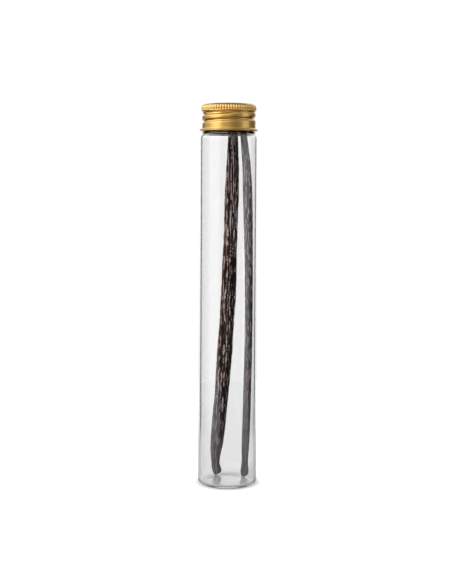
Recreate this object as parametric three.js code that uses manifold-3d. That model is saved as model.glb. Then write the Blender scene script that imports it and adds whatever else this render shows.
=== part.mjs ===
// Two cured vanilla pods standing in a flat-bottomed glass tube, shut by a rolled-thread
// aluminium screw cap. Millimetres, +Z up. The origin is the middle of the tube's foot,
// -Y is the front and +X the right-hand side.

import * as THREE from 'three';
import { mergeVertices } from 'three/addons/utils/BufferGeometryUtils.js';
import Module from 'manifold-3d';

const wasm = await Module();
wasm.setup();

// ---------------------------------------------------------------- driving dimensions

const TUBE = {
  radius: 15,
  wall: 1.3,
  floor: 1.1, // glass thickness where the floor meets the wall
  floorCrown: 0.3, // how far the middle of the floor stands above its rim
  footInner: 11.2, // the flat ring that the tube stands on
  footOuter: 13,
  pushUp: 0.35, // hollow under the middle of the base
  heel: 2, // outer radius of the bottom corner
  corner: 1.4, // inner radius of the bottom corner
  shoulderStart: 177.2, // height where the straight wall ends
  shoulder: 4.2, // outer radius of the shoulder
  top: 194,
  segments: 44,
};

const NECK = {
  radius: 11.9,
  bore: 10.4,
  bottom: 181.8, // the straight neck starts just above the shoulder
  threadedTo: 192,
  lip: 0.6, // radius of the rounded lip
  threadHeight: 0.5,
  threadWidth: 0.8, // half-width of the thread's ridge
  threadStart: 183.2,
  threadTurns: 1.6,
};

const CAP = {
  radius: 13.8,
  sheet: 0.4,
  bottom: 180.95,
  height: 13.85,
  flange: 15.05, // radius of the flared rim
  flangeTop: 182.65,
  bead: 0.45, // radius of the rim's curled edge
  flatTop: 11.9, // radius of the flat part of the top
  edgeDrop: 2.2, // height of the rounded top edge
  knurlRadius: 13.97,
  knurlBottom: 191.3,
  knurlTop: 193.7,
  knurlInner: 13.2, // inside of the thicker knurled band
  knurls: 62,
  knurlDepth: 0.4,
  neckLine: 0.35, // depth and half-height of the groove under the knurled band
  neckLineHeight: 190.4,
  segments: 44,
};

// The rolled thread of the cap: a groove on a right-hand helix. Turns are counted from the
// left-hand side, where the groove is at its start height.
const THREAD = {
  pitch: 3.5,
  startHeight: 185.7,
  firstTurn: -0.3,
  lastTurn: 1.33,
  fade: 0.12, // turns over which the groove runs out
  depth: 0.7,
  halfWidth: 1.15,
};

const FULL_TURN = 2 * Math.PI;
const NEAR = 0.1; // points this near a surface count as on it
const POD_SIDES = 14;
const POD_STEPS = 32;
const FOOT_CROWDING = 1.3; // above 1, the rings of a pod lie closer together near its foot
const FOOT_BLEND = 5; // height over which the slanted foot turns into level rings

// Each pod is laid out from its cut foot to its stem tip. The stations are [height, x, y] of
// the middle of the pod, and [height, breadth, depth] of its section. The cut foot comes down
// to a blunt point at tipAt across the pod, and rises beside it by
// slope * distance + curve * distance ** 2.
const BROAD_POD = {
  middle: [[1.5, -5.4, 9], [8.6, -6.05, 9], [20, -5.2, 8.7], [33, -4.05, 8.5], [45, -3.05, 8.3],
    [64, -1.9, 8], [86.5, -0.55, 7.6], [98, 0.15, 7.4], [112, 0.7, 7.2], [152, 1.8, 6.9],
    [178, 2.2, 6.7], [189, 2.3, 6.7]],
  section: [[1.5, 5, 4.4], [5, 4.9, 4.2], [7.5, 4.2, 3.4], [10.5, 4.8, 3.7], [17, 6.4, 4.4],
    [23, 6.9, 4.8], [45, 7.3, 5.2], [65, 8, 5.2], [86.5, 7.6, 5], [112, 7.7, 5],
    [130, 7.2, 4.9], [146, 7.1, 4.7], [171, 5.9, 4.2], [181, 4.6, 3.6], [189, 2.6, 2.4]],
  foot: { tipAt: -0.9, leftRise: [0.6, 0.5], rightRise: [0.12, 0.1] },
  ridges: 4,
  twist: 0.5, // turns of the ridges along the pod
  ridgeHeight: 0.045,
};

const SLIM_POD = {
  middle: [[1.5, 9.35, 5.5], [8.5, 9.45, 5.3], [29, 10.05, 4.2], [43, 10.35, 3.3],
    [75, 10.85, 1.5], [115, 10.6, 0.2], [150, 9.65, -1.2], [165, 8.95, -2.2],
    [178, 7.6, -3.2], [187, 6.8, -3.8]],
  section: [[1.5, 4.35, 4.6], [5, 4.3, 4.7], [8, 3.6, 4.2], [17, 4.1, 5.2], [35, 4.25, 5.9],
    [59, 4.2, 6], [80, 3.95, 6.2], [112, 4.2, 6.2], [140, 4.65, 6], [155, 4.55, 5.8],
    [171, 3.75, 5], [181, 3.1, 4], [187, 2.2, 2.6]],
  foot: { tipAt: -0.6, leftRise: [0.9, 0.45], rightRise: [0.05, 0.17] },
  ridges: 4,
  twist: -0.4,
  ridgeHeight: 0.045,
};

// ------------------------------------------------------------------------- materials

const glass = new THREE.MeshStandardMaterial({
  color: 0xe6ebe8, roughness: 0.03, metalness: 0, transparent: true, opacity: 0.3,
});
const goldAluminium = new THREE.MeshStandardMaterial({
  color: 0xd6a75a, roughness: 0.32, metalness: 1,
});
const curedPod = new THREE.MeshStandardMaterial({ color: 0x2c201b, roughness: 0.45 });
const greyPod = new THREE.MeshStandardMaterial({ color: 0x3b302b, roughness: 0.55 });

// --------------------------------------------------------------------------- helpers

const smooth = (value) => {
  const clamped = THREE.MathUtils.clamp(value, 0, 1);
  return clamped * clamped * (3 - 2 * clamped);
};

// Points of an arc in the (radius, height) plane, angles in degrees from the outward direction.
function arc(radius, height, size, from, to, steps) {
  const points = [];
  for (let step = 0; step <= steps; step += 1) {
    const angle = THREE.MathUtils.degToRad(THREE.MathUtils.lerp(from, to, step / steps));
    points.push([radius + size * Math.cos(angle), height + size * Math.sin(angle)]);
  }
  return points;
}

// Points at one radius, evenly spaced in height.
function wallRings(radius, from, to, steps) {
  const points = [];
  for (let step = 0; step <= steps; step += 1) {
    points.push([radius, THREE.MathUtils.lerp(from, to, step / steps)]);
  }
  return points;
}

// Points of a shallow dome from its rim to the axis, above a base height.
function dome(rim, base, crown, steps) {
  const points = [];
  for (let step = steps; step >= 0; step -= 1) {
    const share = step / steps;
    points.push([rim * share, base + crown * (1 - share * share)]);
  }
  return points;
}

// A body of revolution about Z from [radius, height] points.
function turned(profile, segments) {
  const points = profile.map(([radius, height]) => new THREE.Vector2(radius, height));
  return new THREE.LatheGeometry(points, segments).rotateX(Math.PI / 2);
}

// Calls move(point) on each vertex, which may change it.
function moveVertices(geometry, move) {
  const position = geometry.attributes.position;
  const point = new THREE.Vector3();
  for (let index = 0; index < position.count; index += 1) {
    move(point.fromBufferAttribute(position, index));
    position.setXYZ(index, point.x, point.y, point.z);
  }
  return geometry;
}

// 1 on the line of a right-hand helix, falling to 0 at halfWidth above or below it and
// beyond its ends. Turns are counted from the left-hand side.
function helixBand(point, start, pitch, firstTurn, lastTurn, fade, halfWidth) {
  const around = (Math.atan2(point.y, point.x) + Math.PI) / FULL_TURN;
  let strength = 0;
  for (let turn = Math.floor(firstTurn); turn <= lastTurn; turn += 1) {
    const along = around + turn;
    const offset = Math.abs(point.z - start - pitch * along) / halfWidth;
    const ends = smooth((along - firstTurn) / fade) * smooth((lastTurn - along) / fade);
    const across = offset < 1 ? 0.5 + 0.5 * Math.cos(Math.PI * offset) : 0;
    strength = Math.max(strength, across * ends);
  }
  return strength;
}

function pushRadially(point, distance) {
  const radius = Math.hypot(point.x, point.y);
  const scale = (radius + distance) / radius;
  point.x *= scale;
  point.y *= scale;
}

function toManifold(geometry) {
  const bare = geometry.clone();
  bare.deleteAttribute('normal');
  bare.deleteAttribute('uv');
  const merged = mergeVertices(bare, 1e-4);
  const triangles = [];
  for (let corner = 0; corner < merged.index.count; corner += 3) {
    const [a, b, c] = [0, 1, 2].map((step) => merged.index.getX(corner + step));
    if (a !== b && b !== c && c !== a) triangles.push(a, b, c);
  }
  return new wasm.Manifold(new wasm.Mesh({
    numProp: 3,
    vertProperties: new Float32Array(merged.attributes.position.array),
    triVerts: new Uint32Array(triangles),
  }));
}

function toGeometry(solid) {
  const { vertProperties, triVerts } = solid.getMesh();
  const geometry = new THREE.BufferGeometry();
  geometry.setAttribute('position', new THREE.BufferAttribute(new Float32Array(vertProperties), 3));
  geometry.setIndex(new THREE.BufferAttribute(new Uint32Array(triVerts), 1));
  geometry.computeVertexNormals();
  return geometry;
}

// ------------------------------------------------------------------------ glass tube

function glassTube() {
  const t = TUBE;
  const innerRadius = t.radius - t.wall;
  const shoulderAxis = t.radius - t.shoulder;
  const innerShoulder = t.shoulder - t.wall;
  const [outerEnd, innerEnd] = [
    (NECK.radius - shoulderAxis) / t.shoulder,
    (NECK.bore - shoulderAxis) / innerShoulder,
  ].map((cosine) => THREE.MathUtils.radToDeg(Math.acos(cosine)));
  const lipHeight = t.top - NECK.lip;
  const profile = [
    ...dome(t.footInner, 0, t.pushUp, 2).reverse(),
    ...arc(t.footOuter, t.heel, t.heel, -90, 0, 4),
    ...arc(shoulderAxis, t.shoulderStart, t.shoulder, 0, outerEnd, 5),
    ...wallRings(NECK.radius, NECK.bottom, NECK.threadedTo, 8),
    ...arc(NECK.radius - NECK.lip, lipHeight, NECK.lip, 0, 90, 2),
    ...arc(NECK.bore + NECK.lip, lipHeight, NECK.lip, 90, 180, 2),
    ...arc(shoulderAxis, t.shoulderStart, innerShoulder, innerEnd, 0, 4),
    ...arc(innerRadius - t.corner, t.floor + t.corner, t.corner, 0, -90, 3),
    ...dome(innerRadius - t.corner, t.floor, t.floorCrown, 2).slice(1),
  ];
  return moveVertices(turned(profile, t.segments), (point) => {
    if (Math.hypot(point.x, point.y) < NECK.radius - NEAR) return;
    if (point.z < NECK.threadStart - NECK.threadWidth) return;
    const ridge = helixBand(point, NECK.threadStart, THREAD.pitch, 0, NECK.threadTurns,
      THREAD.fade, NECK.threadWidth);
    pushRadially(point, NECK.threadHeight * ridge);
  });
}

// ------------------------------------------------------------------------- screw cap

function capShell() {
  const c = CAP;
  const top = c.bottom + c.height;
  const inner = c.radius - c.sheet;
  const edge = c.edgeDrop;
  const threadedFrom = THREAD.startHeight - THREAD.halfWidth;
  const bodyTop = c.neckLineHeight - c.neckLine;
  const rounding = arc(0, 0, 1, 0, 90, 4).map(([across, up]) => [
    c.flatTop + across * (c.knurlRadius - c.flatTop),
    top - edge + up * edge,
  ]);
  const profile = [
    [0, top - c.sheet],
    [c.flatTop, top - c.sheet],
    [c.knurlInner, top - edge],
    [c.knurlInner, c.knurlBottom],
    [inner - c.neckLine, c.neckLineHeight],
    ...wallRings(inner, bodyTop, threadedFrom, 6),
    [inner, c.flangeTop],
    [c.flange - 2 * c.bead, c.bottom + c.bead],
    ...arc(c.flange - c.bead, c.bottom + c.bead, c.bead, -90, 90, 4),
    [c.radius, c.flangeTop],
    ...wallRings(c.radius, threadedFrom, bodyTop, 8),
    [c.radius - c.neckLine, c.neckLineHeight],
    [c.knurlRadius, c.neckLineHeight + c.neckLine],
    ...rounding,
    [0, top],
  ];
  return moveVertices(turned(profile, c.segments), (point) => {
    if (point.z < c.flangeTop + NEAR || point.z > c.neckLineHeight + c.neckLine + NEAR) return;
    const groove = helixBand(point, THREAD.startHeight, THREAD.pitch, THREAD.firstTurn,
      THREAD.lastTurn, THREAD.fade, THREAD.halfWidth);
    pushRadially(point, -THREAD.depth * groove);
  });
}

// A ring whose hole is a star: what is left of the cap inside it has one groove per knurl.
function knurlCutter() {
  const outside = CAP.flange + 1;
  const ring = new THREE.Shape().absarc(0, 0, outside, 0, FULL_TURN);
  const star = [];
  for (let corner = 0; corner < 2 * CAP.knurls; corner += 1) {
    const angle = (Math.PI * corner) / CAP.knurls;
    const radius = CAP.knurlRadius + (corner % 2 ? NEAR / 2 : -CAP.knurlDepth);
    star.push(new THREE.Vector2(radius * Math.cos(angle), radius * Math.sin(angle)));
  }
  ring.holes.push(new THREE.Path(star));
  const depth = CAP.knurlTop - CAP.knurlBottom;
  const settings = { depth, bevelEnabled: false, curveSegments: 24 };
  return new THREE.ExtrudeGeometry(ring, settings).translate(0, 0, CAP.knurlBottom);
}

function screwCap() {
  return toGeometry(toManifold(capShell()).subtract(toManifold(knurlCutter())));
}

// ------------------------------------------------------------------------------ pods

// A smooth curve through stations, each a height with two values, read by height.
function stationCurve(stations) {
  const points = stations.map(([height, first, second]) => new THREE.Vector3(first, second, height));
  const samples = new THREE.CatmullRomCurve3(points, false, 'centripetal').getPoints(400);
  return (height) => {
    const above = samples.findIndex((sample) => sample.z >= height);
    if (above < 0) return samples[samples.length - 1];
    if (above === 0) return samples[0];
    const [low, high] = [samples[above - 1], samples[above]];
    return low.clone().lerp(high, (height - low.z) / (high.z - low.z));
  };
}

// A pod is a closed cylinder whose level rings take the pod's section. Near the foot the
// rings bend to the two slopes of the cut.
function podGeometry(pod) {
  const middleAt = stationCurve(pod.middle);
  const sectionAt = stationCurve(pod.section);
  const bottom = pod.middle[0][0];
  const top = pod.middle[pod.middle.length - 1][0];
  const cylinder = new THREE.CylinderGeometry(1, 1, 1, POD_SIDES, POD_STEPS).rotateX(Math.PI / 2);
  return moveVertices(cylinder, (point) => {
    const along = point.z + 0.5;
    const reach = Math.hypot(point.x, point.y);
    const angle = Math.atan2(point.y, point.x);
    const height = THREE.MathUtils.lerp(bottom, top, along ** FOOT_CROWDING);
    const middle = middleAt(height);
    const section = sectionAt(height);
    const swell = 1 + pod.ridgeHeight * Math.cos(pod.ridges * (angle + FULL_TURN * pod.twist * along));
    const across = 0.5 * section.x * reach * swell * Math.cos(angle);
    const fromTip = across - pod.foot.tipAt;
    const [slope, curve] = fromTip < 0 ? pod.foot.leftRise : pod.foot.rightRise;
    const level = 1 - smooth((height - bottom) / FOOT_BLEND);
    const rise = (slope * Math.abs(fromTip) + curve * fromTip ** 2) * level;
    point.set(
      middle.x + across,
      middle.y + 0.5 * section.y * reach * swell * Math.sin(angle),
      height + rise,
    );
  });
}

// -------------------------------------------------------------------------- assembly

function named(name, geometry, material) {
  const mesh = new THREE.Mesh(geometry, material);
  mesh.name = name;
  return mesh;
}

const group = new THREE.Group();
group.add(
  named('glass_tube', glassTube(), glass),
  named('screw_cap', screwCap(), goldAluminium),
  named('vanilla_pod_broad', podGeometry(BROAD_POD), curedPod),
  named('vanilla_pod_slim', podGeometry(SLIM_POD), greyPod),
);

export default group;
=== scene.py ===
"""Two cured vanilla pods standing in a flat-bottomed glass tube with a gold screw cap.

Sizes are in millimetres and become metres when a mesh is made. The front is -Y, the
right-hand side +X, and the tube stands on the plane z = 0.
"""

import math

import bpy
import numpy as np
from mathutils import Matrix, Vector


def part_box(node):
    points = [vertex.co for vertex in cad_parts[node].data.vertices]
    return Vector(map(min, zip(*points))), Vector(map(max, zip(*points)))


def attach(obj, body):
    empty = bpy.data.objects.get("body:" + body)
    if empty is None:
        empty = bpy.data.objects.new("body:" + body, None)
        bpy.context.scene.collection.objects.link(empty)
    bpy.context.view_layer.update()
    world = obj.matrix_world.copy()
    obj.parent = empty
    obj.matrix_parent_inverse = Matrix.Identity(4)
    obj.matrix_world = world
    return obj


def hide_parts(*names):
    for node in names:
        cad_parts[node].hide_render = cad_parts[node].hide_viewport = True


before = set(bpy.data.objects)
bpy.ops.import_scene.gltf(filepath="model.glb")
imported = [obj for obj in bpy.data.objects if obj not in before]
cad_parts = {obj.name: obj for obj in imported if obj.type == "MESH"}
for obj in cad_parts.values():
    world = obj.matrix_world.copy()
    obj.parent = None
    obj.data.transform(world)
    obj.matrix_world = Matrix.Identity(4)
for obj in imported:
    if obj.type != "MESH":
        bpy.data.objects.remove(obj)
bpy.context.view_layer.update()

# ------------------------------------------------------------------- driving dimensions

MM = 0.001
FULL_TURN = 2 * math.pi

tube_low, tube_high = (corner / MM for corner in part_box("glass_tube"))
cap_low, cap_high = (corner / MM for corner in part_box("screw_cap"))

TUBE_RADIUS = (tube_high.x - tube_low.x) / 2
TUBE_TOP = tube_high.z
WALL = 1.3
FLOOR = 1.1  # glass thickness where the floor meets the wall
FLOOR_CROWN = 0.3  # how far the middle of the floor stands above its rim
PUSH_UP = 0.35  # hollow under the middle of the base
PUSH_UP_POWER = 4  # the higher, the flatter the middle of the hollow
FOOT_INNER = 11.2  # the flat ring that the tube stands on
FOOT_OUTER = 13.0
FOOT_EASE = 0.3  # between the hollow and the first ring of the flat part
HEEL = 2.0  # outer radius of the bottom corner
CORNER = 1.4  # inner radius of the bottom corner
SHOULDER_START = 177.2  # height where the straight wall ends
SHOULDER = 4.2  # outer radius of the shoulder
WALL_EASE = 2.0  # from a rounded corner to the nearest ring of the straight wall
NECK_RADIUS = 11.9
NECK_BORE = 10.4
NECK_RISE = 0.4  # from the full height of the shoulder's arc to the straight neck
BORE_RISE = 0.5  # the same inside
NECK_LIP = 0.6  # radius of the rounded lip
LIP_DROP = 1.4  # from the middle of the lip down to the last ring of the neck
NECK_THREAD = {
    "start": 183.2,
    "turns": 1.6,
    "run_out": 0.12,  # turns over which either end runs out
    "height": 0.5,
    "half_width": 0.8,
}
NEAR = 0.1  # points this near a surface count as on it

CAP_TOP = cap_high.z
CAP_BOTTOM = cap_low.z
CAP_FLANGE = (cap_high.x - cap_low.x) / 2  # radius of the curled rim
CAP_RADIUS = 13.8
CAP_SHEET = 0.4
CAP_FLAT_TOP = 11.9  # radius of the flat part of the top
CAP_EDGE_DROP = 2.2  # height of the rounded top edge
CAP_CORNER = 1.4  # radius inside that edge
CAP_EASE = {"side": 0.5, "top": 0.4, "inside": 0.3}  # gaps beside its rounded stretches
CAP_INNER_RING = 6.0  # radius of the ring under the flat top
KNURL_RADIUS = 13.97
KNURL_BOTTOM = 191.3
KNURLS = 62
KNURLING = {
    "Knurls": float(KNURLS),
    "Knurl Depth": 0.6,
    "Knurl Bottom": KNURL_BOTTOM,
    "Knurl Top": 193.9,
    "Knurl End": 0.35,  # height over which the knurls run out
    "Knurl Flatness": 0.5,  # 1 for round crests, less for flat ones
}
NECK_LINE = 0.35  # depth of the shadow line under the knurled band
NECK_LINE_HEIGHT = 190.35
NECK_LINE_STEP = 0.1  # how far its upper edge stands in from the knurls and up
BEAD = 0.55  # radius of the curled edge of the rim
FLANGE_HEIGHT = 1.5
FLARE = [(0.3, 1.08), (0.06, 1.3)]  # above the bead: out from the side, up from the bottom
RIM_INSIDE = (0.9, 0.3)  # inner edge of the rim: in from the flange, up from the bottom

# The rolled thread of the cap, a groove on a right-hand helix. Turns are counted from the
# left-hand side through the front.
THREAD_PITCH = 3.5
THREAD = {
    "Thread Start": 185.7,
    "Thread Pitch": THREAD_PITCH,
    "First Turn": -0.3,
    "Last Turn": 1.33,
    "Run-out": 0.12,
    "Thread Depth": 0.7,
    "Thread Half Width": 1.15,
}
THREAD_TURNS = (-1, 0, 1)  # turns that the groove may be on at any place round the cap

GLASS_SEGMENTS = 192
SEGMENTS_PER_KNURL = 8

# A pod is laid out from its cut foot to its stem tip: the middle as (height, x, y), the
# section as (height, breadth, depth), the turn as (height, turn of the section in degrees,
# squeareness) and the skin as (height, share of the breadth that is dull and painted pale as
# the lit side, counted from the left, the rest being oily and painted dark as the shaded side,
# depth of the wrinkles as a share of the full depth, how much the border of the dull part is
# broken up). The cut foot comes to a blunt point and rises beside it by
# slope * distance + curve * distance squared.
POD_RINGS = 620
POD_SIDES = 132
FOOT_BLEND = 5.0  # height over which the slanted foot turns into level rings
END_ROUNDING = 0.4  # height over which either end rounds off
FOOT_FULLNESS = 0.85  # size of the flat part of an end, as a share of the section
TIP_FULLNESS = 0.3

BROAD_POD = {
    "middle": [
        (1.5, -5.5, 9), (8.6, -6.3, 9), (20, -5.4, 8.7), (33, -4.25, 8.5), (45, -3.15, 8.3),
        (64, -1.9, 8), (86.5, -0.5, 7.6), (98, 0.2, 7.4), (112, 0.7, 7.2), (152, 1.8, 6.9),
        (178, 2.2, 6.7), (189, 2.3, 6.7),
    ],
    "section": [
        (1.5, 5.1, 4.4), (5, 5, 4.2), (7.5, 4.4, 3.4), (10.5, 5, 3.7), (17, 6.6, 4.4),
        (23, 7.2, 4.8), (45, 7.5, 5.2), (65, 8, 5.2), (86.5, 7.6, 5), (98, 7.85, 5),
        (112, 7.6, 5), (130, 7.1, 4.9), (146, 7.2, 4.7), (171, 5.9, 4.2), (181, 4.6, 3.6),
        (189, 2.6, 2.4),
    ],
    "turn": [(1.5, 5, 2.4), (40, 12, 2.4), (75, 22, 2.8), (189, 30, 2.8)],
    "skin": [
        (1.5, 0.72, 0.15, 0.4), (36, 0.58, 0.28, 0.6), (46, 0.46, 0.38, 0.8), (56, 0.31, 0.6, 0.9),
        (66, 0.27, 1, 0.9), (95, 0.34, 1, 1.2), (112, 0.38, 1, 1.1), (128, 0.53, 1, 0.4),
        (150, 0.62, 1, 0.2), (165, 0.65, 0.85, 0.2), (189, 0.68, 0.75, 0.2),
    ],
    "tip_at": -1.0,
    "left_rise": (0.6, 0.6),
    "right_rise": (0.2, 0.07),
    "skin_twist": 0.12,  # turns of the wrinkles along the pod
    "seed": 4.0,
}

SLIM_POD = {
    "middle": [
        (1.5, 9.35, 5.5), (8.5, 9.45, 5.3), (29, 10.05, 4.2), (43, 10.35, 3.3), (75, 10.85, 1.5),
        (115, 10.6, 0.2), (150, 9.65, -1.2), (165, 8.95, -2.2), (178, 7.6, -3.2), (187, 6.8, -3.8),
    ],
    "section": [
        (1.5, 4.35, 4.6), (5, 4.3, 4.7), (8, 3.6, 4.2), (17, 4.1, 5.2), (35, 4.25, 5.9),
        (59, 4.2, 6), (80, 3.95, 6.2), (112, 4.2, 6.2), (140, 4.65, 6), (155, 4.55, 5.8),
        (171, 3.75, 5), (181, 3.1, 4), (187, 2.2, 2.6),
    ],
    "turn": [(1.5, -10, 2.4), (187, -30, 2.4)],
    "skin": [
        (1.5, 0.84, 0.15, 0.3), (40, 0.84, 0.2, 0.3), (75, 0.8, 0.34, 0.4),
        (120, 0.84, 0.36, 0.4), (160, 0.95, 0.34, 0.3), (187, 1, 0.15, 0.3),
    ],
    "tip_at": -1.2,
    "left_rise": (0.6, 0.6),
    "right_rise": (0.15, 0.08),
    "skin_twist": -0.1,
    "seed": 11.0,
}

# Wrinkles of a pod: even ridges that run along it and bend a little, and broader folds and
# finer creases that stray between them, which are given by width, length and height.
RIDGES = {
    "Ridges": 16.0,  # round the pod
    "Ridge Height": 0.3,
    "Ridge Bend": 16.0,  # how far they bend, in radians of their wave
    "Ridge Bend Width": 2.4,
    "Ridge Bend Length": 12.0,
}
FOLDS = {"Fold": (2.8, 30.0, 0.3), "Crease": (0.7, 5.0, 0.2)}
WANDER = {"Wander": 0.8, "Wander Length": 5.0}  # how far they stray, and over what length
RIDGE_SHARE = 0.5  # shares of the ridges, the folds and the creases in the relief
FOLD_SHARES = (0.15, 0.35)
CREASE_AT = 0.4  # noise at the bottom of a crease and on a crest
CREST_AT = 0.6
CREST_ROUNDING = 0.9  # 1 for straight flanks, less for rounder crests
UNMOVED = 0.6  # where between crease and crest the plain skin lies
SEED_STEP = 10.0  # between the seeds of the folds and of the creases
DULL_LIT_EDGE = 0.12  # softness of the border of the dull part, painted pale as the lit side, as a share of the breadth

# ------------------------------------------------------------------------------ helpers


def linear(colour):
    """Scene-linear RGBA of an sRGB hex colour such as "#d8a24a"."""
    channels = [int(colour[start : start + 2], 16) / 255 for start in (1, 3, 5)]
    return [c / 12.92 if c <= 0.04045 else ((c + 0.055) / 1.055) ** 2.4 for c in channels] + [1]


def smooth(value):
    """0 to 1 with soft ends."""
    clamped = np.clip(value, 0, 1)
    return clamped * clamped * (3 - 2 * clamped)


def arc(radius, height, size, start, end, steps):
    """Points of an arc in the (radius, height) plane, angles in degrees from outward."""
    angles = np.radians(np.linspace(start, end, steps + 1))
    return [(radius + size * math.cos(a), height + size * math.sin(a)) for a in angles]


def run(start, end, steps):
    """Evenly spaced points from start to end, both included."""
    return [tuple(p) for p in np.linspace(start, end, steps + 1)]


MATH = "ShaderNodeMath"
VECTOR_MATH = "ShaderNodeVectorMath"
MAP_RANGE = "ShaderNodeMapRange"
COMBINE = "ShaderNodeCombineXYZ"
NOISE = "ShaderNodeTexNoise"
MIX = "ShaderNodeMix"

# Places of a Mix node's inputs, and of the blended colour among its outputs.
FACTOR, NUMBER_A, NUMBER_B, COLOUR_A, COLOUR_B = 0, 2, 3, 6, 7
MIXED = 2


def add_node(tree, kind, inputs=(), **settings):
    """Adds a node. Its inputs are given by place in a list or by name in a dict: nodes and
    sockets are linked, and other values are set."""
    node = tree.nodes.new(kind)
    for name, value in settings.items():
        setattr(node, name, value)
    for key, value in inputs.items() if isinstance(inputs, dict) else enumerate(inputs):
        source = value.outputs[0] if isinstance(value, bpy.types.Node) else value
        if isinstance(source, bpy.types.NodeSocket):
            tree.links.new(source, node.inputs[key])
        else:
            node.inputs[key].default_value = source
    return node


def new_piece(name, points, faces):
    """A smooth-shaded mesh object from points in millimetres."""
    mesh = bpy.data.meshes.new(name)
    mesh.from_pydata((np.asarray(points) * MM).tolist(), [], faces)
    mesh.shade_smooth()
    piece = bpy.data.objects.new(name, mesh)
    bpy.context.scene.collection.objects.link(piece)
    return piece


def ringed_piece(name, rings, first_pole, last_pole):
    """A closed piece through rings of points, with a pole before the first and after the last.

    The points of a ring run anticlockwise seen from above. The rings run up on an outside and
    down on an inside, so that the faces look out."""
    count, sides = rings.shape[:2]
    points = np.vstack([rings.reshape(-1, 3), [first_pole, last_pole]])
    first, last = count * sides, count * sides + 1
    end = (count - 1) * sides
    faces = []
    for ring in range(count - 1):
        low, high = ring * sides, (ring + 1) * sides
        for side in range(sides):
            after = (side + 1) % sides
            faces.append((low + side, low + after, high + after, high + side))
    for side in range(sides):
        after = (side + 1) % sides
        faces.append((first, after, side))
        faces.append((last, end + side, end + after))
    return new_piece(name, points, faces)


def turned_piece(name, profile, segments):
    """A closed body of revolution whose (radius, height) profile starts and ends on the axis."""
    rings = np.array(profile[1:-1])
    angles = np.arange(segments) * FULL_TURN / segments
    radii, heights = rings[:, :1], rings[:, 1:]
    x = radii * np.cos(angles)
    y = radii * np.sin(angles)
    z = heights + 0 * angles
    start, end = (0, 0, profile[0][1]), (0, 0, profile[-1][1])
    return ringed_piece(name, np.stack([x, y, z], axis=2), start, end)


def nodes_to_mesh(piece, tree, values):
    """Runs a Geometry Nodes tree on a piece and keeps the result as its plain mesh."""
    modifier = piece.modifiers.new(tree.name, "NODES")
    modifier.node_group = tree
    for item in tree.interface.items_tree:
        if item.item_type == "SOCKET" and item.in_out == "INPUT" and item.name in values:
            modifier[item.identifier] = values[item.name]
    evaluated = piece.evaluated_get(bpy.context.evaluated_depsgraph_get())
    result = bpy.data.meshes.new_from_object(evaluated)
    plain, piece.data = piece.data, result
    piece.modifiers.remove(modifier)
    result.name = piece.name
    bpy.data.meshes.remove(plain)
    return piece


def geometry_tree(name, floats):
    """An empty Geometry Nodes tree with one geometry, one material and named float inputs."""
    tree = bpy.data.node_groups.new(name, "GeometryNodeTree")
    tree.interface.new_socket("Geometry", in_out="INPUT", socket_type="NodeSocketGeometry")
    tree.interface.new_socket("Material", in_out="INPUT", socket_type="NodeSocketMaterial")
    for label in floats:
        tree.interface.new_socket(label, in_out="INPUT", socket_type="NodeSocketFloat")
    tree.interface.new_socket("Geometry", in_out="OUTPUT", socket_type="NodeSocketGeometry")
    return tree, add_node(tree, "NodeGroupInput")


def finish_tree(tree, start, geometry):
    """Ends a tree in real geometry that carries the material."""
    real = add_node(tree, "GeometryNodeRealizeInstances", [geometry])
    painted = add_node(
        tree, "GeometryNodeSetMaterial", {"Geometry": real, "Material": start.outputs["Material"]}
    )
    add_node(tree, "NodeGroupOutput", [painted])


def new_material(name):
    """An empty node material."""
    material = bpy.data.materials.new(name)
    material.use_nodes = True
    material.node_tree.nodes.clear()
    return material, material.node_tree


# ------------------------------------------------------------------------------- camera

CAMERA_DISTANCE = 560.0
CAMERA_HEIGHT = 159.0
CAMERA_PITCH = 3.3  # degrees down
CAMERA_ROLL = 0.3  # degrees
LENS = 67.5
SENSOR = 36.0
SHIFT = (-0.0039, -0.093)  # of the frame, as shares of its longer side


def make_camera():
    """The camera, in front of the tube and level with its upper part, looking slightly down."""
    data = bpy.data.cameras.new("camera")
    data.sensor_width = SENSOR
    data.lens = LENS
    data.shift_x, data.shift_y = SHIFT
    camera = bpy.data.objects.new("camera", data)
    aim = Matrix.Rotation(math.radians(90 - CAMERA_PITCH), 4, "X")
    roll = Matrix.Rotation(math.radians(CAMERA_ROLL), 4, "Z")
    place = Matrix.Translation((0, -CAMERA_DISTANCE * MM, CAMERA_HEIGHT * MM))
    camera.matrix_world = place @ aim @ roll
    bpy.context.scene.collection.objects.link(camera)
    bpy.context.scene.camera = camera


# --------------------------------------------------------------------------- glass tube


def soda_lime_glass():
    """Clear soda-lime glass, drawn and fire-polished: colourless, a little grey where the
    light goes far through it, and mirror-smooth."""
    material, tree = new_material("soda_lime_glass")
    glass = add_node(
        tree,
        "ShaderNodeBsdfPrincipled",
        {
            "Base Color": linear("#fdfdfd"),
            "Roughness": 0.0,
            "IOR": 1.52,
            "Transmission Weight": 1.0,
        },
    )
    add_node(tree, "ShaderNodeOutputMaterial", {"Surface": glass})
    return material


def helix_ridge(point, thread):
    """1 on a right-hand helix, falling to 0 at its half-width and beyond its ends."""
    around = (math.atan2(point[1], point[0]) + math.pi) / FULL_TURN
    strength = 0.0
    for turn in range(math.ceil(thread["turns"])):
        along = around + turn
        offset = abs(point[2] - thread["start"] - THREAD_PITCH * along) / thread["half_width"]
        from_start, from_end = along, thread["turns"] - along
        ends = smooth(from_start / thread["run_out"]) * smooth(from_end / thread["run_out"])
        if offset < 1:
            strength = max(strength, (0.5 + 0.5 * math.cos(math.pi * offset)) * ends)
    return strength


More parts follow.
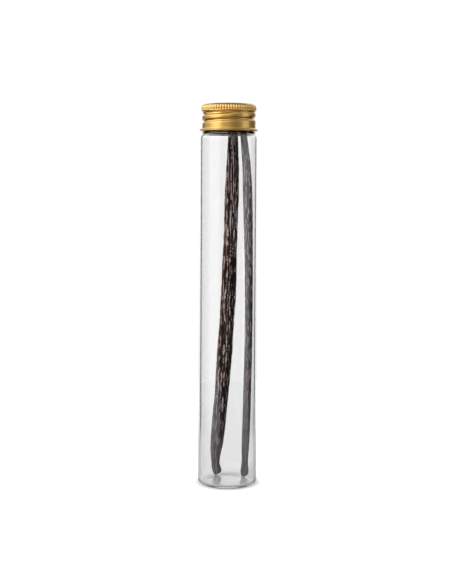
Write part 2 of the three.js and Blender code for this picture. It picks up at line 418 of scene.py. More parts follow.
def make_tube():
    """The glass tube, turned in one closed outline: base, outside, lip, inside and floor. The
    thread on its neck is pushed out of the turned body."""
    inner = TUBE_RADIUS - WALL
    axis = TUBE_RADIUS - SHOULDER
    shoulder_angle = math.degrees(math.acos((NECK_RADIUS - axis) / SHOULDER))
    inner_shoulder = SHOULDER - WALL
    bore_angle = math.degrees(math.acos((NECK_BORE - axis) / inner_shoulder))
    lip_height = TUBE_TOP - NECK_LIP
    neck_low = SHOULDER_START + SHOULDER + NECK_RISE
    bore_low = SHOULDER_START + inner_shoulder + BORE_RISE
    neck_high = lip_height - LIP_DROP
    wall_high = SHOULDER_START - WALL_EASE
    base = [
        (r, PUSH_UP * (1 - (r / FOOT_INNER) ** PUSH_UP_POWER))
        for r in np.linspace(0, FOOT_INNER, 15)
    ]
    floor = [
        (r, FLOOR + FLOOR_CROWN * (1 - (r / (inner - CORNER)) ** 2))
        for r in np.linspace(inner - CORNER, 0, 15)
    ]
    profile = (
        base
        + run((FOOT_INNER + FOOT_EASE, 0), (FOOT_OUTER, 0), 3)
        + arc(FOOT_OUTER, HEEL, HEEL, -90, 0, 12)[1:]
        + run((TUBE_RADIUS, HEEL + WALL_EASE), (TUBE_RADIUS, wall_high), 24)
        + arc(axis, SHOULDER_START, SHOULDER, 0, shoulder_angle, 16)
        + run((NECK_RADIUS, neck_low), (NECK_RADIUS, neck_high), 30)
        + arc(NECK_RADIUS - NECK_LIP, lip_height, NECK_LIP, 0, 90, 6)
        + arc(NECK_BORE + NECK_LIP, lip_height, NECK_LIP, 90, 180, 6)
        + run((NECK_BORE, neck_high), (NECK_BORE, bore_low), 4)
        + arc(axis, SHOULDER_START, inner_shoulder, bore_angle, 0, 12)
        + run((inner, wall_high), (inner, FLOOR + CORNER + WALL_EASE), 24)
        + arc(inner - CORNER, FLOOR + CORNER, CORNER, 0, -90, 12)[:-1]
        + floor
    )
    tube = turned_piece("clear_tube", profile, GLASS_SEGMENTS)
    thread_low = NECK_THREAD["start"] - NECK_THREAD["half_width"]
    for vertex in tube.data.vertices:
        x, y, z = vertex.co / MM
        if z > thread_low and math.hypot(x, y) > NECK_RADIUS - NEAR:
            push = NECK_THREAD["height"] * helix_ridge((x, y, z), NECK_THREAD)
            scale = 1 + push / math.hypot(x, y)
            vertex.co.x *= scale
            vertex.co.y *= scale
    tube.data.materials.append(soda_lime_glass())
    return tube


# ---------------------------------------------------------------------------- screw cap


DRAW_LINE_WIDTH = 0.12  # of the fine lines from rolling, which run round the cap
DRAW_LINES_ROUND = 60.0  # how many follow each other per metre round it
GOLD_PATCH = 5.0  # size of the slightly deeper patches


def gold_anodised_aluminium():
    """Rolled aluminium sheet, anodised and dyed gold, then lacquered: a satin metal with
    soft broad reflections, faint draw lines round it, and a thin clear gloss on top."""
    material, tree = new_material("gold_anodised_aluminium")
    place = add_node(tree, "ShaderNodeTexCoord").outputs["Object"]
    fine = 1 / (DRAW_LINE_WIDTH * MM)
    steps = (DRAW_LINES_ROUND, DRAW_LINES_ROUND, fine)
    stretch = add_node(tree, VECTOR_MATH, [place, steps], operation="MULTIPLY")
    lines = add_node(tree, NOISE, {"Vector": stretch, "Scale": 1.0, "Detail": 3.0})
    patch_scale = 1 / (GOLD_PATCH * MM)
    patches = add_node(tree, NOISE, {"Vector": place, "Scale": patch_scale, "Detail": 4.0})
    tone = add_node(
        tree,
        MIX,
        {FACTOR: patches, COLOUR_A: linear("#e9b953"), COLOUR_B: linear("#e0ad49")},
        data_type="RGBA",
    )
    roughness = add_node(tree, MAP_RANGE, {"Value": lines, "To Min": 0.34, "To Max": 0.43})
    bump = add_node(
        tree, "ShaderNodeBump", {"Strength": 0.12, "Distance": 0.02 * MM, "Height": lines}
    )
    metal = add_node(
        tree,
        "ShaderNodeBsdfPrincipled",
        {
            "Base Color": tone.outputs[MIXED],
            "Metallic": 1.0,
            "Roughness": roughness,
            "Normal": bump,
            "Coat Weight": 1.0,
            "Coat IOR": 1.9,
            "Coat Roughness": 0.16,
        },
    )
    add_node(tree, "ShaderNodeOutputMaterial", {"Surface": metal})
    return material


def rolled_cap_tree():
    """Presses the knurls and rolls the thread groove into a plain turned cap."""
    tree, start = geometry_tree("knurl and thread the cap", [*KNURLING, *THREAD])
    value = start.outputs
    position = add_node(tree, "GeometryNodeInputPosition")
    in_mm = add_node(tree, VECTOR_MATH, {0: position, "Scale": 1 / MM}, operation="SCALE")
    x, y, z = add_node(tree, "ShaderNodeSeparateXYZ", [in_mm]).outputs
    angle = add_node(tree, MATH, [y, x], operation="ARCTAN2")

    # Knurls: flat crests with sharp valleys between them, which run out at both ends.
    phase = add_node(tree, MATH, [angle, value["Knurls"]], operation="MULTIPLY")
    half = add_node(tree, MATH, [phase, 0.5], operation="MULTIPLY")
    wave = add_node(tree, MATH, [half], operation="SINE")
    sharp = add_node(tree, MATH, [wave], operation="ABSOLUTE")
    crest = add_node(tree, MATH, [sharp, value["Knurl Flatness"]], operation="POWER")
    valley = add_node(tree, MATH, [1.0, crest], operation="SUBTRACT")
    push = add_node(tree, MATH, [valley, value["Knurl Depth"]], operation="MULTIPLY")
    for limit, direction in (("Knurl Bottom", "ADD"), ("Knurl Top", "SUBTRACT")):
        full = add_node(tree, MATH, [value[limit], value["Knurl End"]], operation=direction)
        ends = {"Value": z, "From Min": value[limit], "From Max": full}
        within = add_node(tree, MAP_RANGE, ends, interpolation_type="SMOOTHSTEP")
        push = add_node(tree, MATH, [push, within], operation="MULTIPLY")

    # Thread: at each height the nearest turn of the groove, which also runs out at both ends.
    turned = add_node(tree, MATH, [angle, math.pi], operation="ADD")
    around = add_node(tree, MATH, [turned, FULL_TURN], operation="DIVIDE")
    groove = 0.0
    for turn in THREAD_TURNS:
        along = add_node(tree, MATH, [around, float(turn)], operation="ADD")
        climb = [along, value["Thread Pitch"], value["Thread Start"]]
        line = add_node(tree, MATH, climb, operation="MULTIPLY_ADD")
        off = add_node(tree, MATH, [z, line], operation="SUBTRACT")
        away = add_node(tree, MATH, [off], operation="ABSOLUTE")
        limits = {"Value": away, "From Max": value["Thread Half Width"], "To Min": 1, "To Max": 0}
        part = add_node(tree, MAP_RANGE, limits, interpolation_type="SMOOTHSTEP")
        for limit, direction in (("First Turn", "ADD"), ("Last Turn", "SUBTRACT")):
            full = add_node(tree, MATH, [value[limit], value["Run-out"]], operation=direction)
            ends = {"Value": along, "From Min": value[limit], "From Max": full}
            within = add_node(tree, MAP_RANGE, ends, interpolation_type="SMOOTHSTEP")
            part = add_node(tree, MATH, [part, within], operation="MULTIPLY")
        groove = add_node(tree, MATH, [groove, part], operation="MAXIMUM")

    push = add_node(tree, MATH, [groove, value["Thread Depth"], push], operation="MULTIPLY_ADD")
    inward = add_node(tree, MATH, [push, -MM], operation="MULTIPLY")
    level = add_node(tree, COMBINE, [x, y])
    outward = add_node(tree, VECTOR_MATH, [level], operation="NORMALIZE")
    offset = add_node(tree, VECTOR_MATH, {0: outward, "Scale": inward}, operation="SCALE")
    moved = add_node(
        tree, "GeometryNodeSetPosition", {"Geometry": value["Geometry"], "Offset": offset}
    )
    finish_tree(tree, start, moved)
    return tree


def make_cap():
    """The screw cap, turned in one closed outline and then knurled and threaded. The inside
    has no lining."""
    inner = CAP_RADIUS - CAP_SHEET
    under_top = CAP_TOP - CAP_SHEET
    flange_top = CAP_BOTTOM + FLANGE_HEIGHT
    side_top = NECK_LINE_HEIGHT - CAP_EASE["side"]
    edge_low = CAP_TOP - CAP_EDGE_DROP
    line_edge = KNURL_RADIUS - NECK_LINE_STEP
    corner_width = KNURL_RADIUS - CAP_FLAT_TOP
    rounding = [
        (CAP_FLAT_TOP + corner_width * math.cos(a), edge_low + CAP_EDGE_DROP * math.sin(a))
        for a in np.radians(np.linspace(0, 90, 19))
    ]
    outside = (
        arc(CAP_FLANGE - BEAD, CAP_BOTTOM + BEAD, BEAD, -90, 70, 10)
        + [(CAP_RADIUS + out, CAP_BOTTOM + up) for out, up in FLARE]
        + run((CAP_RADIUS, flange_top), (CAP_RADIUS, side_top), 46)
        + arc(CAP_RADIUS, NECK_LINE_HEIGHT, NECK_LINE, -90, -180, 6)[1:]
        + arc(line_edge, NECK_LINE_HEIGHT + NECK_LINE_STEP, NECK_LINE, 180, 90, 4)
        + run((KNURL_RADIUS, KNURL_BOTTOM), (KNURL_RADIUS, edge_low), 10)[:-1]
        + rounding
        + run((CAP_FLAT_TOP - CAP_EASE["top"], CAP_TOP), (0, CAP_TOP), 8)
    )
    inside = (
        [(radius, under_top) for radius in (0, CAP_INNER_RING, CAP_FLAT_TOP)]
        + arc(inner - CAP_CORNER, edge_low, CAP_CORNER, 80, 0, 6)
        + run((inner, edge_low - CAP_EASE["inside"]), (inner, flange_top), 40)
        + [(CAP_FLANGE - RIM_INSIDE[0], CAP_BOTTOM + RIM_INSIDE[1])]
    )
    cap = turned_piece("gold_cap", inside + outside, KNURLS * SEGMENTS_PER_KNURL)
    sizes = {**KNURLING, **THREAD, "Material": gold_anodised_aluminium()}
    return nodes_to_mesh(cap, rolled_cap_tree(), sizes)


# --------------------------------------------------------------------------------- pods


def along_stations(stations, heights):
    """Smooth values at the given heights through stations of a height and two or three
    values."""
    table = np.array(stations, float)
    known = table[:, 0]
    slopes = np.gradient(table[:, 1:], known, axis=0)
    place = np.clip(np.searchsorted(known, heights) - 1, 0, len(known) - 2)
    span = (known[place + 1] - known[place])[:, None]
    t = ((heights - known[place])[:, None] / span).clip(0, 1)
    low, high = table[place, 1:], table[place + 1, 1:]
    rise_low, rise_high = slopes[place] * span, slopes[place + 1] * span
    return (
        low * (2 * t**3 - 3 * t**2 + 1)
        + rise_low * (t**3 - 2 * t**2 + t)
        + high * (3 * t**2 - 2 * t**3)
        + rise_high * (t**3 - t**2)
    )


def pod_sections(turns, angles):
    """Unit sections, one for each ring: rounded boxes turned about the pod's middle and
    scaled so that each just fits a square of side 2."""
    tilt = np.radians(turns[:, :1])
    power = 2 / turns[:, 1:]
    local = angles[None, :] + tilt
    x = np.sign(np.cos(local)) * np.abs(np.cos(local)) ** power
    y = np.sign(np.sin(local)) * np.abs(np.sin(local)) ** power
    across = x * np.cos(tilt) + y * np.sin(tilt)
    deep = y * np.cos(tilt) - x * np.sin(tilt)
    across /= np.abs(across).max(axis=1, keepdims=True)
    deep /= np.abs(deep).max(axis=1, keepdims=True)
    return across, deep


def plain_pod(name, pod):
    """The unwrinkled pod, with attributes of its points: skin holds the cosine and sine of
    the place round the pod times its mean radius, and the length along it, in mm; the mark of
    the dull side is 1 where the skin is dull and painted pale as its lit side, and 0 on the oily
    side, painted dark as its shaded side; wrinkling is the depth of the wrinkles; mottling tells
    how far patches break the border of the dull part."""
    bottom, top = pod["middle"][0][0], pod["middle"][-1][0]
    heights = np.linspace(bottom, top, POD_RINGS)
    angles = np.arange(POD_SIDES) * FULL_TURN / POD_SIDES
    middle = along_stations(pod["middle"], heights)
    section = along_stations(pod["section"], heights)
    across, deep = pod_sections(along_stations(pod["turn"], heights), angles)
    share, wrinkling, mottling = along_stations(pod["skin"], heights).T
    # Painted light and shade: the dull part on the left is painted pale as the lit side, the oily
    # rest dark as the shaded side.
    dull_lit_side = smooth((share[:, None] - 0.5 - 0.5 * across) / DULL_LIT_EDGE + 0.5)

    fullness = 1.0
    for distance, least in ((heights - bottom, FOOT_FULLNESS), (top - heights, TIP_FULLNESS)):
        rounding = np.sqrt(1 - (1 - np.clip(distance / END_ROUNDING, 0, 1)) ** 2)
        fullness = fullness * (least + (1 - least) * rounding)
    across = 0.5 * section[:, :1] * across * fullness[:, None]
    deep = 0.5 * section[:, 1:] * deep * fullness[:, None]
    from_tip = across - pod["tip_at"]
    left, right = (
        slope * np.abs(from_tip) + curve * from_tip**2
        for slope, curve in (pod["left_rise"], pod["right_rise"])
    )
    level = 1 - smooth((heights - bottom) / FOOT_BLEND)[:, None]
    rise = np.where(from_tip < 0, left, right) * level
    rings = np.stack(
        [middle[:, :1] + across, middle[:, 1:] + deep, heights[:, None] + rise], axis=2
    )
    piece = ringed_piece(name, rings, rings[0].mean(axis=0), rings[-1].mean(axis=0))

    radius = 0.25 * (section[:, 0] + section[:, 1]).mean()
    lengths = (heights - bottom)[:, None] + 0 * across
    phase = angles + FULL_TURN * pod["skin_twist"] * lengths / (top - bottom)
    skin = np.stack([radius * np.cos(phase), radius * np.sin(phase), lengths], axis=2)
    skin = np.vstack([skin.reshape(-1, 3), (0, 0, 0), (0, 0, top - bottom)])
    stored = piece.data.attributes.new("skin", "FLOAT_VECTOR", "POINT")
    stored.data.foreach_set("vector", skin.astype(np.float32).ravel())
    for label, values in (
        ("dull_lit_side", dull_lit_side),
        ("wrinkling", wrinkling[:, None] + 0 * across),
        ("mottling", mottling[:, None] + 0 * across),
    ):
        stored = piece.data.attributes.new(label, "FLOAT", "POINT")
        ends = [values[0].mean(), values[-1].mean()]
        stored.data.foreach_set("value", np.append(values.ravel(), ends).astype(np.float32))
    return piece


def stretched(tree, place, width, length):
    """Skin coordinates in steps of a width round the pod and a length along it."""
    step = add_node(tree, COMBINE, [width, width, length])
    return add_node(tree, VECTOR_MATH, [place, step], operation="DIVIDE")


def wrinkle_tree():
    """Wrinkles a pod: even lengthwise ridges that bend, with broader folds and finer creases
    that stray between them. The relief attribute is 0 in the creases and 1 on the crests."""
    sizes = [f"{fold} {size}" for fold in FOLDS for size in ("Width", "Length", "Height")]
    tree, start = geometry_tree("wrinkle the pod", [*sizes, *RIDGES, *WANDER, "Seed"])
    value = start.outputs
    skin = add_node(
        tree, "GeometryNodeInputNamedAttribute", {"Name": "skin"}, data_type="FLOAT_VECTOR"
    )
    wrinkling = add_node(
        tree, "GeometryNodeInputNamedAttribute", {"Name": "wrinkling"}, data_type="FLOAT"
    )
    bends = add_node(
        tree,
        NOISE,
        {
            "Vector": stretched(tree, skin, value["Wander Length"], value["Wander Length"]),
            "W": value["Seed"],
            "Scale": 1.0,
            "Detail": 1.0,
        },
        noise_dimensions="4D",
    )
    middle = (0.5, 0.5, 0.5)
    aside = add_node(tree, VECTOR_MATH, [bends.outputs["Color"], middle], operation="SUBTRACT")
    wander = add_node(tree, COMBINE, [value["Wander"], value["Wander"], value["Wander"]])
    bent = add_node(tree, VECTOR_MATH, [aside, wander, skin], operation="MULTIPLY_ADD")

    x, y, _ = add_node(tree, "ShaderNodeSeparateXYZ", [skin]).outputs
    angle = add_node(tree, MATH, [y, x], operation="ARCTAN2")
    turns = add_node(tree, MATH, [angle, value["Ridges"]], operation="MULTIPLY")
    place = stretched(tree, skin, value["Ridge Bend Width"], value["Ridge Bend Length"])
    noise = add_node(
        tree,
        NOISE,
        {"Vector": place, "W": value["Seed"], "Scale": 1.0, "Detail": 1.0},
        noise_dimensions="4D",
    )
    phase = add_node(tree, MATH, [noise, value["Ridge Bend"], turns], operation="MULTIPLY_ADD")
    wave = add_node(tree, MATH, [phase], operation="SINE")
    crest = add_node(tree, MATH, [wave, 0.5, 0.5], operation="MULTIPLY_ADD")
    relief = add_node(tree, MATH, [crest, RIDGE_SHARE], operation="MULTIPLY")
    centred = add_node(tree, MATH, [crest, UNMOVED], operation="SUBTRACT")
    height = add_node(tree, MATH, [centred, value["Ridge Height"]], operation="MULTIPLY")
    for number, (fold, share) in enumerate(zip(FOLDS, FOLD_SHARES)):
        place = stretched(tree, bent, value[f"{fold} Width"], value[f"{fold} Length"])
        seed = add_node(tree, MATH, [value["Seed"], SEED_STEP * number], operation="ADD")
        noise = add_node(
            tree,
            NOISE,
            {"Vector": place, "W": seed, "Scale": 1.0, "Detail": 1.0, "Roughness": 0.4},
            noise_dimensions="4D",
        )
        limits = {"Value": noise, "From Min": CREASE_AT, "From Max": CREST_AT}
        slope = add_node(tree, MAP_RANGE, limits)
        crest = add_node(tree, MATH, [slope, CREST_ROUNDING], operation="POWER")
        relief = add_node(tree, MATH, [crest, share, relief], operation="MULTIPLY_ADD")
        centred = add_node(tree, MATH, [crest, UNMOVED], operation="SUBTRACT")
        height = add_node(
            tree, MATH, [centred, value[f"{fold} Height"], height], operation="MULTIPLY_ADD"
        )

    marked = add_node(
        tree,
        "GeometryNodeStoreNamedAttribute",
        {"Geometry": value["Geometry"], "Name": "relief", "Value": relief},
        data_type="FLOAT",
        domain="POINT",
    )
    here = add_node(tree, MATH, [height, wrinkling], operation="MULTIPLY")
    lift = add_node(tree, MATH, [here, MM], operation="MULTIPLY")
    normal = add_node(tree, "GeometryNodeInputNormal")
    offset = add_node(tree, VECTOR_MATH, {0: normal, "Scale": lift}, operation="SCALE")
    moved = add_node(tree, "GeometryNodeSetPosition", {"Geometry": marked, "Offset": offset})
    finish_tree(tree, start, moved)
    return tree


# Between which values each part of a skin comes in, or goes where its strength falls to 0.
SHOWS = {
    # by the grain, which places the painted black shade of the creases, the painted pale highlight
    # of the crests, and the oil
    "flank": {"From Min": 0.36, "From Max": 0.54},
    "crest": {"From Min": 0.6, "From Max": 0.8},
    "oil": {"From Min": 0.4, "To Max": 0.3},
    # by a pattern of its own, and for the painted glints by that times the relief
    "fibre": {"From Min": 0.43, "From Max": 0.57},
    "tinge": {"From Min": 0.4, "From Max": 0.6, "To Max": 0.8},
    "painted_glint": {"From Min": 0.37, "From Max": 0.43},
    # by the place round the pod, broken up by the patches and the grain: the dull part, painted
    # pale as the lit side, against the oily part, painted dark as the shaded side
    "dull_lit_side": {"From Min": 0.3, "From Max": 0.7},
    # by the depth of the wrinkles
    "rough": {"From Min": 0.18, "From Max": 0.36},
    "smooth": {"From Min": 0.3, "From Max": 0.7, "To Min": 1.0, "To Max": 0.0},
    "wet": {"From Min": 0.16, "From Max": 0.26, "To Min": 1.0, "To Max": 0.0},
}
FIBRE_SHARE = 0.3  # of the fibres in the grain, the rest being the relief
GRAIN_SHARE = 0.3  # of the grain in what breaks up the border, the rest being the patches


def by_relief(tree, relief, colours):
    """Colours for the creases, the flanks and the crests of the wrinkles, blended: the black of
    the creases is painted shade and the pale of the crests a painted highlight.
    """
    crease, flank, crest = (linear(colour) for colour in colours)
    low = add_node(tree, MAP_RANGE, {"Value": relief, **SHOWS["flank"]})
    high = add_node(tree, MAP_RANGE, {"Value": relief, **SHOWS["crest"]})
    sides = {FACTOR: low, COLOUR_A: crease, COLOUR_B: flank}
    side = add_node(tree, MIX, sides, data_type="RGBA").outputs[MIXED]
    whole = {FACTOR: high, COLOUR_A: side, COLOUR_B: crest}
    return add_node(tree, MIX, whole, data_type="RGBA").outputs[MIXED]


def cured_pod_skin(name, colours, patterns):
    """Skin of a cured vanilla pod: wrinkled lengthwise, glossy with oil in places and a dull grey
    brown in others, with a rusty tinge here and there, and an even grey where it is smooth. The
    dull part is painted pale as the lit side of the pod, and the oily part is painted nearly
    black as its shaded side. The crests of the wrinkles are painted paler as a highlight and
    carry small painted glints, and the creases are painted black as shade."""
    material, tree = new_material(name)
    skin = add_node(tree, "ShaderNodeAttribute", attribute_name="skin").outputs["Vector"]
    relief, side, wrinkling, mottling = (
        add_node(tree, "ShaderNodeAttribute", attribute_name=label).outputs["Fac"]
        for label in ("relief", "dull_lit_side", "wrinkling", "mottling")
    )
    patches, painted_glints, fibres, tinges = (
        add_node(
            tree,
            NOISE,
            {"Vector": stretched(tree, skin, width, length), "Scale": 1.0, "Detail": detail},
        )
        for width, length, detail in (
            patterns[label] for label in ("patches", "painted_glints", "fibres", "tinges")
        )
    )
    fibre = add_node(tree, MAP_RANGE, {"Value": fibres, **SHOWS["fibre"]})
    fibrous = {FACTOR: FIBRE_SHARE, NUMBER_A: relief, NUMBER_B: fibre}
    grain = add_node(tree, MIX, fibrous, data_type="FLOAT")
    grainy = {FACTOR: GRAIN_SHARE, NUMBER_A: patches, NUMBER_B: grain}
    uneven = add_node(tree, MIX, grainy, data_type="FLOAT")
    blotch = add_node(tree, MATH, [uneven, 0.5], operation="SUBTRACT")
    broken = add_node(tree, MATH, [blotch, mottling, side], operation="MULTIPLY_ADD")
    dull_and_lit = add_node(tree, MAP_RANGE, {"Value": broken, **SHOWS["dull_lit_side"]})

    # The dull side, painted pale as the lit side of the pod: greyer where it is smooth, rusty
    # where it is tinged.
    tinge = add_node(tree, MAP_RANGE, {"Value": tinges, **SHOWS["tinge"]})
    on_flank = add_node(tree, MATH, [tinge, relief], operation="MULTIPLY")
    rust = add_node(tree, MATH, [on_flank, mottling], operation="MULTIPLY", use_clamp=True)
    dull_lit_side, smooth_dull, oily = (
        by_relief(tree, grain, colours[label]) for label in ("dull_lit_side", "smooth", "oily")
    )
    smoothness = add_node(tree, MAP_RANGE, {"Value": wrinkling, **SHOWS["smooth"]})
    dull_lit_parts = {FACTOR: smoothness, COLOUR_A: dull_lit_side, COLOUR_B: smooth_dull}
    dull_lit_side = add_node(tree, MIX, dull_lit_parts, data_type="RGBA").outputs[MIXED]
    dull_lit_parts = {FACTOR: rust, COLOUR_A: dull_lit_side, COLOUR_B: linear(colours["rusty"])}
    dull_lit_side = add_node(tree, MIX, dull_lit_parts, data_type="RGBA").outputs[MIXED]

    # The oily side, painted dark as the shaded side of the pod: maroon where it is tinged, and wet
    # where the wrinkles are shallowest.
    oily_parts = {FACTOR: rust, COLOUR_A: oily, COLOUR_B: linear(colours["maroon"])}
    oily = add_node(tree, MIX, oily_parts, data_type="RGBA").outputs[MIXED]
    wetness = add_node(tree, MAP_RANGE, {"Value": wrinkling, **SHOWS["wet"]})
    oily_parts = {FACTOR: wetness, COLOUR_A: oily, COLOUR_B: linear(colours["wet"])}
    oily = add_node(tree, MIX, oily_parts, data_type="RGBA").outputs[MIXED]

    # Both sides together, with painted glints, small pale flecks, on the crests where the skin is
    # wrinkled enough.
    sides = {FACTOR: dull_and_lit, COLOUR_A: oily, COLOUR_B: dull_lit_side}
    tinged = add_node(tree, MIX, sides, data_type="RGBA").outputs[MIXED]
    spots = add_node(tree, MATH, [painted_glints, relief], operation="MULTIPLY")
    bright = add_node(tree, MAP_RANGE, {"Value": spots, **SHOWS["painted_glint"]})
    rough = add_node(tree, MAP_RANGE, {"Value": wrinkling, **SHOWS["rough"]})
    spotted = add_node(tree, MATH, [bright, rough], operation="MULTIPLY")
    parts = {FACTOR: spotted, COLOUR_A: tinged, COLOUR_B: linear(colours["painted_glint"])}
    with_painted_glints = add_node(tree, MIX, parts, data_type="RGBA").outputs[MIXED]
    roughness = add_node(tree, MAP_RANGE, {"Value": dull_and_lit, "To Min": 0.3, "To Max": 0.5})
    oil = add_node(tree, MAP_RANGE, {"Value": grain, **SHOWS["oil"]})
    bump = add_node(
        tree, "ShaderNodeBump", {"Strength": 0.5, "Distance": 0.08 * MM, "Height": fibres}
    )
    surface = add_node(
        tree,
        "ShaderNodeBsdfPrincipled",
        {
            "Base Color": with_painted_glints,
            "Roughness": roughness,
            "Specular IOR Level": 0.1,
            "Normal": bump,
            "Coat Weight": oil,
            "Coat Roughness": 0.12,
        },
    )
    add_node(tree, "ShaderNodeOutputMaterial", {"Surface": surface})
    return material


def make_pods():
    """Both pods, wrinkled alike, each with its own skin."""
    tree = wrinkle_tree()
    sizes = {**RIDGES, **WANDER}
    for fold, (width, length, height) in FOLDS.items():
        sizes |= {f"{fold} Width": width, f"{fold} Length": length, f"{fold} Height": height}
    # Width, length and detail of each pattern.
    patterns = {
        "patches": (0.9, 9.0, 1.0),
        "painted_glints": (0.36, 1.1, 1.0),
        "fibres": (0.75, 5.5, 1.0),
        "tinges": (1.6, 12.0, 2.0),
    }
    # Each part's colours run (crease, flank, crest): the crease colour is painted shade and the
    # crest colour a painted highlight. The oily colours are dark partly as painted shade of the
    # pod's right side, the dull ones pale partly as painted light on its left side, and the pale
    # fleck colour is a painted glint.
    oily_colours = {
        "oily": ("#000000", "#2c1912", "#a87d6b"),
        "dull_lit_side": ("#040201", "#7a5c52", "#e8ccc1"),
        "smooth": ("#434144", "#69676b", "#8d8c93"),
        "wet": "#151110",
        "rusty": "#96533c",
        "maroon": "#532c21",
        "painted_glint": "#f0e8e5",
    }
    dry_colours = {
        "oily": ("#120e0b", "#352a23", "#6c5c52"),
        "dull_lit_side": ("#524b4a", "#857c79", "#bfb5b2"),
        "smooth": ("#565052", "#736c6d", "#938a8a"),
        "wet": "#3a3531",
        "rusty": "#7d5849",
        "maroon": "#4c352c",
        "painted_glint": "#f0e8e5",
    }
    oily = cured_pod_skin("oily_cured_skin", oily_colours, patterns)
    dry = cured_pod_skin("dry_cured_skin", dry_colours, {**patterns, "painted_glints": (0.35, 2.6, 1.0)})
    broad = plain_pod("broad_pod", BROAD_POD)
    nodes_to_mesh(broad, tree, {**sizes, "Seed": BROAD_POD["seed"], "Material": oily})
    slim = plain_pod("slim_pod", SLIM_POD)
    nodes_to_mesh(slim, tree, {**sizes, "Seed": SLIM_POD["seed"], "Material": dry})
    return broad, slim


# --------------------------------------------------------------------- floor and lights

FLOOR_RADIUS = 280.0
FLOOR_SIDES = 96
FLOOR_WHITE = 0.85  # share of the light that the table throws back
FLOOR_GLOW = 0.36  # light from below, as on a lit white table
FLOOR_GLOW_SEEN = 0.72  # the same seen directly
WHITE = 1.02  # the white surroundings, as seen directly
THROUGH_GLASS = 1.02  # the same seen through the tube
# The floor seen through the glass: painted shade, darker near the tube and lighter far from it
# (radii in mm).
FLOOR_THROUGH_GLASS = {"near": 0.93, "far": 1.04, "from": 60.0, "to": 230.0}
FLOOR_MIRRORED = 0.6
PATCH = {"radius": 120.0, "softness": 40.0}  # what the pack mirrors of the floor

CONTACT = {"from": 13.4, "to": 18.2, "light": 0.42}  # painted contact shadow: radii over which the floor seen directly is darkened round the foot, and its darkest share

# Soft panels round the tube: the middle and half-width in degrees from the camera's side,
# positive to the right, the softness of their sides, and the brightness level with the
# tube and high up.
PANELS = [
    {"middle": -58, "half_width": 22, "soft": 8, "level": 1.05, "high": 3.0},
    {"middle": -104, "half_width": 22, "soft": 5, "level": 0.3, "high": 1.5},
    {"middle": -13, "half_width": 25, "soft": 21, "level": 0.05, "high": 1.7},
    {"middle": 50, "half_width": 22, "soft": 14, "level": 0.06, "high": 0.6},
    {"middle": 77, "half_width": 16, "soft": 5, "level": 0.9, "high": 0.6},
    {"middle": 122, "half_width": 24, "soft": 8, "level": 0.0, "high": 0.6},
    {"middle": 180, "half_width": 33, "soft": 3, "level": 1.1, "high": 1.05},
]
PANEL_EDGES = {"low": -35, "high": 46, "soft": 7}  # elevations
RISE = (2.4, 12.0)  # elevations between which the brightness changes
FALL = {"from": -3.0, "to": -15.0, "left": 0.75}  # and below the horizon it fades to a share
CEILING = {"low": 52, "light": 0.2}
ROOM = 0.03  # brightness between the panels
OVERHEAD = 180.0  # above any elevation
NEARER = -1.0  # below any distance

# Bounces that a ray seen straight through the glass stays under when those through the glass
# are taken off. The surroundings count one more than the table.
THROUGH_TO_ROOM = 1.5
THROUGH_TO_TABLE = 0.5


def between(tree, value, low, high, softness):
    """1 between two limits, with soft edges of a given half-width."""
    up = {"Value": value, "From Min": low - softness, "From Max": low + softness}
    down = {"Value": value, "From Min": high + softness, "From Max": high - softness}
    rise, fall = (
        add_node(tree, MAP_RANGE, limits, interpolation_type="SMOOTHSTEP") for limits in (up, down)
    )
    return add_node(tree, MATH, [rise, fall], operation="MULTIPLY")


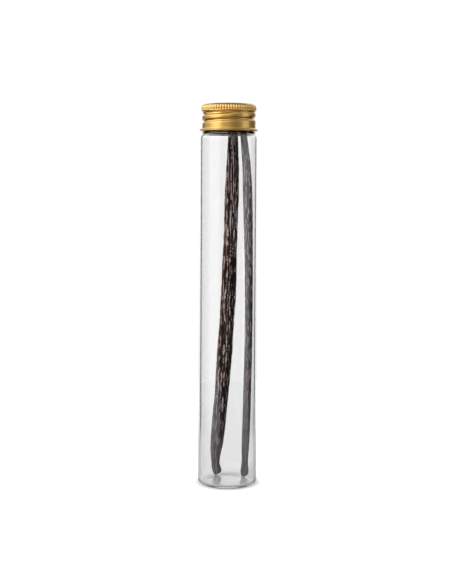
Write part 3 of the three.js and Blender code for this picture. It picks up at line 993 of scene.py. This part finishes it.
def make_world():
    """White surroundings for what is seen past or through the glass, and soft panels in a
    dim room for what lights the pack and shines in it."""
    world = bpy.data.worlds.new("studio")
    bpy.context.scene.world = world
    world.use_nodes = True
    tree = world.node_tree
    tree.nodes.clear()
    direction = add_node(tree, "ShaderNodeTexCoord").outputs["Generated"]
    x, y, z = add_node(tree, "ShaderNodeSeparateXYZ", [direction]).outputs
    front = add_node(tree, MATH, [y, -1.0], operation="MULTIPLY")
    turn = add_node(tree, MATH, [x, front], operation="ARCTAN2")
    around = add_node(tree, MATH, [turn], operation="DEGREES")
    climb = add_node(tree, MATH, [z], operation="ARCSINE")
    height = add_node(tree, MATH, [climb], operation="DEGREES")

    light = ROOM
    for panel in PANELS:
        off = add_node(tree, MATH, [around, float(panel["middle"])], operation="SUBTRACT")
        turned = add_node(tree, MATH, [off, 180.0, -180.0], operation="WRAP")
        half, soft = float(panel["half_width"]), float(panel["soft"])
        wide = between(tree, turned, -half, half, soft)
        raised = {"Value": height, "From Min": RISE[0], "From Max": RISE[1]}
        raised |= {"To Min": panel["level"], "To Max": panel["high"]}
        glow = add_node(tree, MAP_RANGE, raised, interpolation_type="SMOOTHSTEP")
        light = add_node(tree, MATH, [wide, glow, light], operation="MULTIPLY_ADD")
    edges = [float(PANEL_EDGES[edge]) for edge in ("low", "high", "soft")]
    panels = add_node(tree, MATH, [light, between(tree, height, *edges)], operation="MULTIPLY")
    fading = {"Value": height, "From Min": FALL["to"], "From Max": FALL["from"]}
    fade = add_node(tree, MAP_RANGE, fading | {"To Min": FALL["left"]})
    panels = add_node(tree, MATH, [panels, fade], operation="MULTIPLY")
    low, soft = float(CEILING["low"]), float(PANEL_EDGES["soft"])
    above = between(tree, height, low, OVERHEAD, soft)
    light = add_node(tree, MATH, [above, CEILING["light"], panels], operation="MULTIPLY_ADD")

    direct, through = seen_rays(tree, THROUGH_TO_ROOM)
    glassy = {FACTOR: through, NUMBER_A: light, NUMBER_B: THROUGH_GLASS}
    other = add_node(tree, MIX, glassy, data_type="FLOAT")
    seen = {FACTOR: direct, NUMBER_A: other, NUMBER_B: WHITE}
    strength = add_node(tree, MIX, seen, data_type="FLOAT")
    background = add_node(
        tree, "ShaderNodeBackground", {"Color": (1, 1, 1, 1), "Strength": strength}
    )
    add_node(tree, "ShaderNodeOutputWorld", {"Surface": background})


def seen_rays(tree, bounces):
    """1 for light that reaches the lens directly, and 1 for light that reaches it straight
    through the glass. The latter has fewer than the given bounces left when those through
    the glass are taken off."""
    path = add_node(tree, "ShaderNodeLightPath").outputs
    left = add_node(
        tree, MATH, [path["Ray Depth"], path["Transmission Depth"]], operation="SUBTRACT"
    )
    few = add_node(tree, MATH, [left, bounces], operation="LESS_THAN")
    through = add_node(tree, MATH, [path["Is Transmission Ray"], few], operation="MULTIPLY")
    return path["Is Camera Ray"], through


def make_floor():
    """A round white table, faintly lit from below. The pack mirrors only the patch that it
    stands on, because past that the panels reach down below the table. Seen directly it carries
    a painted contact shadow round the foot, and seen through the glass it is painted darker
    near the tube."""
    angles = np.arange(FLOOR_SIDES) * FULL_TURN / FLOOR_SIDES
    rim = [(FLOOR_RADIUS * math.cos(a), FLOOR_RADIUS * math.sin(a), 0) for a in angles]
    table = new_piece("white_table", rim, [tuple(range(FLOOR_SIDES))])
    material, tree = new_material("lit_white_acrylic")
    place = add_node(tree, "ShaderNodeTexCoord").outputs["Object"]
    away = add_node(tree, VECTOR_MATH, [place], operation="LENGTH").outputs["Value"]
    patch = between(tree, away, NEARER, PATCH["radius"] * MM, PATCH["softness"] * MM)
    direct, through = seen_rays(tree, THROUGH_TO_TABLE)
    seen = add_node(tree, MATH, [direct, through], operation="MAXIMUM")
    shown = add_node(tree, MATH, [seen, patch], operation="MAXIMUM")
    # Painted shade: the floor seen through the glass is darker near the tube.
    reach = {
        "Value": away,
        "From Min": FLOOR_THROUGH_GLASS["from"] * MM,
        "From Max": FLOOR_THROUGH_GLASS["to"] * MM,
        "To Min": FLOOR_THROUGH_GLASS["near"],
        "To Max": FLOOR_THROUGH_GLASS["far"],
    }
    behind = add_node(tree, MAP_RANGE, reach)
    glassy = {FACTOR: through, NUMBER_A: FLOOR_MIRRORED, NUMBER_B: behind}
    other = add_node(tree, MIX, glassy, data_type="FLOAT")
    # Painted contact shadow round the foot, on the floor as seen directly.
    contact = {
        "Value": away,
        "From Min": CONTACT["from"] * MM,
        "From Max": CONTACT["to"] * MM,
        "To Min": CONTACT["light"],
    }
    shaded = add_node(tree, MAP_RANGE, contact)
    whole = {FACTOR: direct, NUMBER_A: other, NUMBER_B: shaded}
    light = add_node(tree, MIX, whole, data_type="FLOAT")
    white = add_node(tree, MATH, [light, FLOOR_WHITE], operation="MULTIPLY")
    strength = {FACTOR: direct, NUMBER_A: FLOOR_GLOW, NUMBER_B: FLOOR_GLOW_SEEN}
    strongest = add_node(tree, MIX, strength, data_type="FLOAT")
    glow = add_node(tree, MATH, [light, strongest], operation="MULTIPLY")
    matt = add_node(tree, "ShaderNodeBsdfDiffuse", {"Color": white})
    shine = add_node(tree, "ShaderNodeEmission", {"Strength": glow})
    lit = add_node(tree, "ShaderNodeAddShader", [matt, shine])
    clear = add_node(tree, "ShaderNodeBsdfTransparent")
    surface = add_node(tree, "ShaderNodeMixShader", [shown, clear, lit])
    add_node(tree, "ShaderNodeOutputMaterial", {"Surface": surface})
    material.cycles.emission_sampling = "NONE"
    table.data.materials.append(material)


# ----------------------------------------------------------------------------- assembly

make_camera()
tube = make_tube()
cap = make_cap()
broad_pod, slim_pod = make_pods()
make_world()
make_floor()

for piece, node, slot in (
    (tube, "glass_tube", "clear_glass"),
    (cap, "screw_cap", "gold_aluminium"),
    (broad_pod, "vanilla_pod_broad", "dark_pod"),
    (slim_pod, "vanilla_pod_slim", "grey_pod"),
):
    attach(piece, "root")
    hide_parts(node)

bpy.context.scene.view_settings.view_transform = "Standard"
